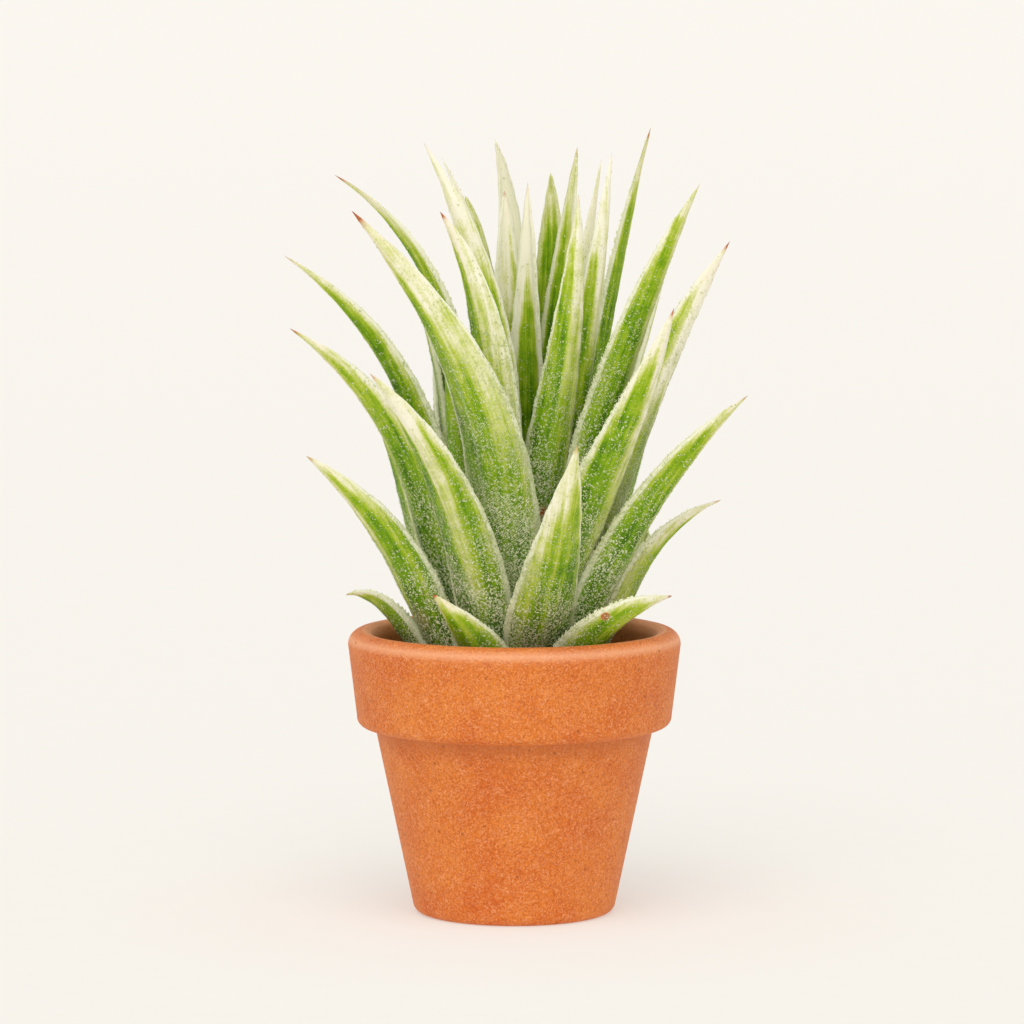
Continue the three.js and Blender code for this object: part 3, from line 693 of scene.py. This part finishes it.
RINGS, OUTER_SIDES, INNER_SIDES = 104, 33, 17   # points along, and across each face
SPREAD = 0.86   # of a quarter wave, whose crests crowd the points towards the margins
RIDGE, RIDGE_BREADTH = 0.42, 0.16
GROOVE, GROOVE_AT, GROOVE_BREADTH = 0.16, 0.5, 0.22   # beside the ridge
RIDGED_WIDTH = 4   # half the width of the blade that these are for
EDGE_WOBBLE, WOBBLE_SPANS = 0.05, (0.7, 1.6, 3.5)
LIP_ROUNDING = 0.16


def blade_grids(blade, look, rng):
    """Points of the outer and the inner face, as grids of rings by sides, with where they lie, and
    the lines of the two lips between them."""
    shares = LAST_SECTION * np.linspace(0, 1, RINGS)
    across, inward = blade.frames(shares)
    centre = blade.centre(shares)
    half, curl, thickness = blade.section(shares)
    half = half + wobble(shares * blade.length, rng) * ease(0.05, 0.2, shares)
    bend = half / np.sin(curl)
    middle = bend * (1 + np.cos(curl)) / 2
    edge = np.minimum(EDGE_THICKNESS, thickness) / 2
    grids = {}
    for face, count in (("outer", OUTER_SIDES), ("inner", INNER_SIDES)):
        sides = np.sin(np.linspace(-1, 1, count) * math.pi / 2 * SPREAD)
        sides = sides / math.sin(math.pi / 2 * SPREAD)
        if face == "outer":
            sides = sides + look["keel"] * (1 - sides ** 2)
        side = sides[None, :]
        depth = mix((thickness / 2)[:, None], edge[:, None], side ** 2)
        if face == "outer":
            near = np.abs(side - look["keel"])
            groove = GROOVE * np.exp(-((near - GROOVE_AT) / GROOVE_BREADTH) ** 2)
            crest = RIDGE * np.exp(-near / RIDGE_BREADTH) - groove
            fade = ease(0.02, 0.25, shares) * (1 - ease(0.8, 1.0, shares))
            size = (half / RIDGED_WIDTH)[:, None]
            depth = depth + look["ridge"] * crest * fade[:, None] * size
        else:
            depth = -depth
        turn = side * curl[:, None]
        reach = bend[:, None] + depth
        points = (centre[:, None] + across[:, None] * (reach * np.sin(turn))[..., None]
                  + inward[:, None] * (middle[:, None] - reach * np.cos(turn))[..., None])
        grids[face] = {
            "points": points, "sides": np.broadcast_to(side, depth.shape),
            "shares": np.broadcast_to(shares[:, None], depth.shape),
            "across": side * half[:, None]}
    rounding = LIP_ROUNDING * (1 - ease(0.8, 0.98, shares))
    for name, sign in (("right", 1), ("left", -1)):
        turn = sign * curl
        aside = bend * np.sin(turn) + sign * rounding * np.cos(turn)
        raised = middle - bend * np.cos(turn) + rounding * np.sin(curl)
        grids[name] = centre + across * aside[:, None] + inward * raised[:, None]
    return grids


def wobble(length, rng):
    """A slow uneven line along a leaf, in millimetres."""
    waves = sum(rng.uniform(0.4, 1) * np.sin(length / span + rng.uniform(0, 6.3))
                for span in WOBBLE_SPANS)
    return EDGE_WOBBLE * waves


WEDGE_FULLNESS, WEDGE_FADE = 9, 0.16
WEDGE_SOFT_ROOT, WEDGE_SOFT_TIP = 0.1, 0.12
# how pale the flesh is between the wedges, at the root and at the tip
OPEN_ROOT, OPEN_TIP = 0.1, 0.23
PALER_TIP, DEEPER_ROOT, DEEPER_ALL = 0.14, 0.1, 0.12
# how much of the face is felted at the root, and how much less further up
FELT_ROOT, LESS_FELT_MIDDLE, LESS_FELT_TIP = 0.4, 0.28, 0.1
MARGIN_FELT, KEEL_FELT, KEEL_BREADTH, KEEL_FADE = 0.93, 0.62, 0.07, 0.3
TIP_BROWN, UPPER_BROWN = 1.1, 0.16


def blade_marks(look, grid, inner):
    """How pale, felted and brown the blade is at each point of a grid."""
    share, side = grid["shares"], grid["sides"]
    green = np.zeros(share.shape)
    for middle, half, end, depth in look["green"]:
        half = half * (1 - np.clip(share / end, 0, 1) ** WEDGE_FULLNESS)
        soft = WEDGE_SOFT_ROOT + WEDGE_SOFT_TIP * share
        inside = ease(-soft, soft, half - np.abs(side - middle))
        inside = inside * (1 - ease(end - WEDGE_FADE, end, share))
        green = np.maximum(green, depth * inside)
    open_flesh = look["cream"] * mix(OPEN_ROOT, OPEN_TIP, ease(0.15, 0.75, share))
    pale = (1 - green) * open_flesh + look["tone"] + PALER_TIP * ease(0.45, 1.0, share)
    pale = pale - DEEPER_ALL - DEEPER_ROOT * (1 - ease(0.12, 0.45, share))

    margin = look["margin"] * ease(0.8, 0.88, np.abs(side)) * (1 - ease(0.85, 1.0, share))
    felt = look["felt"] * (FELT_ROOT - LESS_FELT_MIDDLE * ease(0.05, 0.5, share)
                           - LESS_FELT_TIP * ease(0.5, 0.85, share))
    felt = np.maximum(felt, MARGIN_FELT * margin)
    brown = look["tip"] * (TIP_BROWN * ease(0.965, 1.0, share)
                           + UPPER_BROWN * ease(0.75, 0.97, share))
    brown = brown + look["dry"] * (1 - ease(0.0, 0.2, share))
    if not inner:
        keel = np.exp(-((side - look["keel"]) / KEEL_BREADTH) ** 2)
        keel = keel * (1 - ease(look["crease"] - KEEL_FADE, look["crease"], share))
        felt = np.maximum(felt, KEEL_FELT * keel)
        for place, beside, reach, breadth, depth in look["dried"]:
            spot = ((share - place) / reach) ** 2 + ((side - beside) / breadth) ** 2
            brown = brown + depth * np.exp(-spot ** 2)
    return {"pale": pale, "felt": np.clip(felt, 0, 1), "brown": brown}


def around(outer, inner):
    """Values of the two faces as closed rings. The lips take those of the outer face's ends."""
    return np.concatenate([outer, outer[:, -1:], inner[:, ::-1], outer[:, :1]], axis=1)


# how far apart the patterns of neighbouring leaves and of a leaf's two faces are taken
LEAF_OFFSET, FACE_OFFSET = 17.3, 40


def make_leaf(blade, look, rng):
    """The finished blade, which stands in for its plain solid. Returns its faces' grids."""
    grids = blade_grids(blade, look, rng)
    outer, inner = grids["outer"], grids["inner"]
    ring = np.concatenate([outer["points"], grids["right"][:, None], inner["points"][:, ::-1],
                           grids["left"][:, None]], axis=1)
    columns = ring.shape[1]
    tip, root = blade.handles[3], ring[0].mean(axis=0)
    points = np.concatenate([ring.reshape(-1, 3), [tip, root]])
    quads = grid_faces(RINGS, columns)
    last, tip_at, root_at = (RINGS - 1) * columns, RINGS * columns, RINGS * columns + 1
    at = np.arange(columns)
    after = (at + 1) % columns
    cap = np.stack([last + at, last + after, np.full(columns, tip_at)], axis=-1)
    base = np.stack([after, at, np.full(columns, root_at)], axis=-1)

    values = {}
    inner_marks = blade_marks(look, inner, inner=True)
    for key, outer_mark in blade_marks(look, outer, inner=False).items():
        row = around(outer_mark, inner_marks[key])
        values[key] = np.concatenate([row.ravel(), [row[-1].mean(), row[0].mean()]])
    across = around(outer["across"], inner["across"] + FACE_OFFSET)
    length = np.broadcast_to(outer["shares"][:, :1] * blade.length, across.shape)
    offset = LEAF_OFFSET * blade.number
    values["blade"] = np.concatenate([
        np.stack([across, length, np.full(across.shape, offset)], axis=-1).reshape(-1, 3),
        [[0, blade.length, offset], [0, 0, offset]]])

    piece = make_piece(f"blade_{blade.number:02d}", points, [quads, cap, base], LEAF_SKIN,
                       values)
    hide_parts(f"leaf_{blade.number:02d}")
    return grids


# ---- silver scales: short hairs that lie on the blades and stand out from their edges ----

LAST_CELL = 1.001   # taken from a count of rows or columns, it keeps a place inside the grid
TAIL_LIFT, HEAD_LIFT, CREST_LIFT = 0.02, 0.03, 0.06

# hairs tried for a square millimetre, and how many are kept at the root of a face
DENSEST, ROOT_HAIRS = 33, 21
FEWER_HAIRS = ((4, 0.05, 0.3), (8.5, 0.25, 0.6), (7.5, 0.55, 0.9))   # and from where to where
MARGIN_HAIRS, INNER_FACE_SHARE = 12, 0.6
PATCHINESS, PATCH_SPAN = 0.3, 1.9
# steps of these two shares of the whole lie evenly and still look scattered
ROW_STEP, COLUMN_STEP = 0.7548776662, 0.5698402910
HAIR_LENGTH, HAIR_BREADTH, HAIR_SWERVE, HAIR_LIFT = 0.39, 0.22, 0.95, 0.1
LEAST_SIZE, SIZE_RANGE, SIZE_BIAS = 0.62, 0.75, 2.2
UPPER_SIZE, UPPER_WHITE = 0.76, 0.35   # shares of those at the root

EDGE_SPACING, EDGE_STAND_OFF, EDGE_LIFT = 0.22, 0.05, 0.06
EDGE_LENGTHS, EDGE_BREADTHS, EDGE_WHITES = (0.3, 0.6), (0.16, 0.28), (0.2, 1)
EDGE_BESIDE = 3   # columns from a lip to the points of the outer face that show its direction


def between(grid, row, column):
    """Values of a grid at fractional rows and columns."""
    r, c = np.floor(row).astype(int), np.floor(column).astype(int)
    r, c = np.minimum(r, grid.shape[0] - 2), np.minimum(c, grid.shape[1] - 2)
    y, x = row - r, column - c
    if grid.ndim == 3:
        y, x = y[:, None], x[:, None]
    return (grid[r, c] * (1 - y) * (1 - x) + grid[r, c + 1] * (1 - y) * x
            + grid[r + 1, c] * y * (1 - x) + grid[r + 1, c + 1] * y * x)


def along_edge(edge, row):
    """Points of a line at fractional rows."""
    low = np.minimum(np.floor(row).astype(int), len(edge) - 2)
    rest = (row - low)[:, None]
    return edge[low] * (1 - rest) + edge[low + 1] * rest


def units(vectors):
    return vectors / np.linalg.norm(vectors, axis=1)[:, None]


def hair_shapes(place, out, lie, beside, length, breadth, lift):
    """Tail, side, head and other side of each hair: a sliver folded along its length."""
    tail = place - lie * (length / 2)[:, None] + out * TAIL_LIFT
    head = place + lie * (length / 2)[:, None] + out * (HEAD_LIFT + lift)[:, None]
    crest = out * (CREST_LIFT + lift * 0.5)[:, None]
    one = place + beside * (breadth / 2)[:, None] + crest
    other = place - beside * (breadth / 2)[:, None] + crest
    return np.stack([tail, one, head, other], axis=1)


def scatter_scales(grid, blade, look, rng, inner):
    """Hairs on one face of a blade, dense at its base and sparse further up, each with how white
    it is."""
    points = grid["points"]
    rows, columns = points.shape[:2]
    down, over = np.gradient(points, axis=0), np.gradient(points, axis=1)
    cells = np.linalg.norm(np.cross(down, over), axis=2)
    tries = DENSEST * cells.max()
    count = int(tries * (rows - 1) * (columns - 1))
    step = np.arange(count)
    row = (rng.uniform() + step * ROW_STEP) % 1 * (rows - LAST_CELL)
    column = (rng.uniform() + step * COLUMN_STEP) % 1 * (columns - LAST_CELL)
    share = between(grid["shares"], row, column)
    side = between(grid["sides"], row, column)
    thick = ROOT_HAIRS
    for fewer, low, high in FEWER_HAIRS:
        thick = thick - fewer * ease(low, high, share)
    thick = thick + MARGIN_HAIRS * ease(0.62, 0.9, np.abs(side)) * (1 - ease(0.45, 0.85, share))
    thick = thick * look["felt"] * (INNER_FACE_SHARE if inner else 1)
    patchy = 0.85 + PATCHINESS * np.sin(
        share * blade.length / PATCH_SPAN + 3 * side + blade.number)
    keep = rng.uniform(0, tries, count) < thick * patchy * between(cells, row, column)
    row, column, share = row[keep], column[keep], share[keep]
    place = between(points, row, column)
    along = units(between(down, row, column))
    out = units(np.cross(between(over, row, column), along))
    if inner:
        out = -out
    beside = np.cross(along, out)
    angle = rng.normal(0, HAIR_SWERVE, len(place))[:, None]
    lie = along * np.cos(angle) + beside * np.sin(angle)
    beside = np.cross(lie, out)
    size = LEAST_SIZE + SIZE_RANGE * rng.uniform(0, 1, len(place)) ** SIZE_BIAS
    size = size * mix(1, UPPER_SIZE, ease(0.3, 0.7, share))
    length = HAIR_LENGTH * size * rng.uniform(0.8, 1.35, len(place))
    breadth = HAIR_BREADTH * size * rng.uniform(0.75, 1.15, len(place))
    lift = rng.uniform(0.0, HAIR_LIFT, len(place))
    white = rng.uniform(0, 1, len(place)) * mix(1, UPPER_WHITE, ease(0.1, 0.55, share))
    return hair_shapes(place, out, lie, beside, length, breadth, lift), white


def edge_scales(grids, blade, rng):
    """Hairs that stand out from the two margins of a blade, each with how white it is."""
    made = []
    for name, column in (("right", -1 - EDGE_BESIDE), ("left", EDGE_BESIDE)):
        lip = grids[name]
        count = int(blade.length / EDGE_SPACING)
        row = rng.uniform(0, RINGS - LAST_CELL, count)
        share = LAST_SECTION * row / (RINGS - 1)
        row = row[rng.uniform(0, 1, count) < 1.0 - 0.8 * ease(0.7, 0.96, share)]
        place = along_edge(lip, row)
        along = units(along_edge(np.gradient(lip, axis=0), row))
        away = place - along_edge(grids["outer"]["points"][:, column], row)
        away = units(away - along * (away * along).sum(axis=1)[:, None])
        out = np.cross(along, away)
        lean = rng.normal(0.5, 0.5, len(row))[:, None]
        lie = away * np.cos(lean) + along * np.sin(lean)
        beside = np.cross(lie, out)
        length = rng.uniform(*EDGE_LENGTHS, len(row))
        breadth = rng.uniform(*EDGE_BREADTHS, len(row))
        lift = rng.normal(0, EDGE_LIFT, len(row))
        shapes = hair_shapes(
            place + away * EDGE_STAND_OFF, out, lie, beside, length, breadth, lift)
        made.append((shapes, rng.uniform(*EDGE_WHITES, len(row))))
    return made


def make_scales(name, hairs):
    """One piece of all the hairs of a group of leaves."""
    points = np.concatenate([shapes for shapes, _ in hairs]).reshape(-1, 3)
    start = np.arange(len(points) // 4)[:, None] * 4
    tint = np.repeat(np.concatenate([white for _, white in hairs]), 4)
    make_piece(name, points, [start + (0, 1, 2), start + (0, 2, 3)], SCALE,
               {"tint": tint})


def make_rosette(rng):
    groups = {"scales_outer": range(1, 14), "scales_low": range(14, 24),
              "scales_middle": range(24, 32), "scales_inner": range(32, 47)}
    for name, numbers in groups.items():
        hairs = []
        for number in numbers:
            look = {**PLAIN_LOOK, **LOOKS.get(number, {})}
            blade = Blade(number, LEAVES[number - 1])
            grids = make_leaf(blade, look, rng)
            hairs.append(scatter_scales(grids["outer"], blade, look, rng, inner=False))
            hairs.append(scatter_scales(grids["inner"], blade, look, rng, inner=True))
            hairs.extend(edge_scales(grids, blade, rng))
        make_scales(name, hairs)


# ---- studio ----

# in metres
FLOOR_RINGS, WALL_RADIUS = (0.001, 0.3, 0.8), 4.6
WALL_BREADTH, WALL_HEIGHT = 0.5, 1.0
RISE, WALL_RISE = 0.04, 1.5   # of the curve per square metre, and the power of the wall's
SWEEP_SIDES, SWEEP_STEPS, WALL_STEPS = 96, 28, 9

ROOM_COLOUR, ROOM_STRENGTH = "#ffffff", 0.61
LIGHTS = (("window", 1.15, 50, 30), ("reflector", 0.5, 60, 72))   # strength, spread and lean
LIGHT_TINT, LIGHT_TURN = (1.0, 0.985, 0.96), -6


def make_sweep():
    """A round floor that curves up into a low wall on all sides, without a line between them."""
    turns = np.linspace(0, 2 * math.pi, SWEEP_SIDES, endpoint=False)
    floor = FLOOR_RINGS[-1]
    rings = [(radius, 0) for radius in FLOOR_RINGS]
    rings += [(radius, RISE * (radius - floor) ** 2)
              for radius in np.linspace(floor, WALL_RADIUS, SWEEP_STEPS)[1:]]
    foot = rings[-1][1]
    rings += [(WALL_RADIUS + WALL_BREADTH * share, foot + WALL_HEIGHT * share ** WALL_RISE)
              for share in np.linspace(0, 1, WALL_STEPS)[1:]]
    rows = [np.stack([r * np.cos(turns), r * np.sin(turns), np.full(SWEEP_SIDES, float(z))],
                     axis=-1) for r, z in rings]
    mesh = bpy.data.meshes.new("studio_sweep")
    mesh.from_pydata(np.concatenate(rows).tolist(), [],
                     grid_faces(len(rings), SWEEP_SIDES).tolist())
    mesh.shade_smooth()
    mesh.materials.append(PAPER)
    sweep = bpy.data.objects.new("studio_sweep", mesh)
    bpy.context.scene.collection.objects.link(sweep)


def make_light():
    """An even bright room, one broad soft light from high in front and a little left, and a white
    reflector low in front."""
    world = bpy.data.worlds.new("room")
    world.use_nodes = True
    background = world.node_tree.nodes["Background"]
    background.inputs["Color"].default_value = colour(ROOM_COLOUR)
    background.inputs["Strength"].default_value = ROOM_STRENGTH
    bpy.context.scene.world = world
    for name, energy, spread, lean in LIGHTS:
        light = bpy.data.lights.new(name, "SUN")
        light.energy, light.angle = energy, math.radians(spread)
        light.color = LIGHT_TINT
        lamp = bpy.data.objects.new(name, light)
        lamp.rotation_euler = (math.radians(lean), 0, math.radians(LIGHT_TURN))
        bpy.context.scene.collection.objects.link(lamp)
    bpy.context.scene.view_settings.view_transform = "Standard"
    bpy.context.scene.view_settings.look = "None"


# ---- the whole ----

make_sweep()
make_light()
make_pot()
make_grit(np.random.default_rng(11))
make_crumbs(np.random.default_rng(12))
make_rosette(np.random.default_rng(13))
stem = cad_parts["stem"]
stem.data.materials.clear()
stem.data.materials.append(BARK)
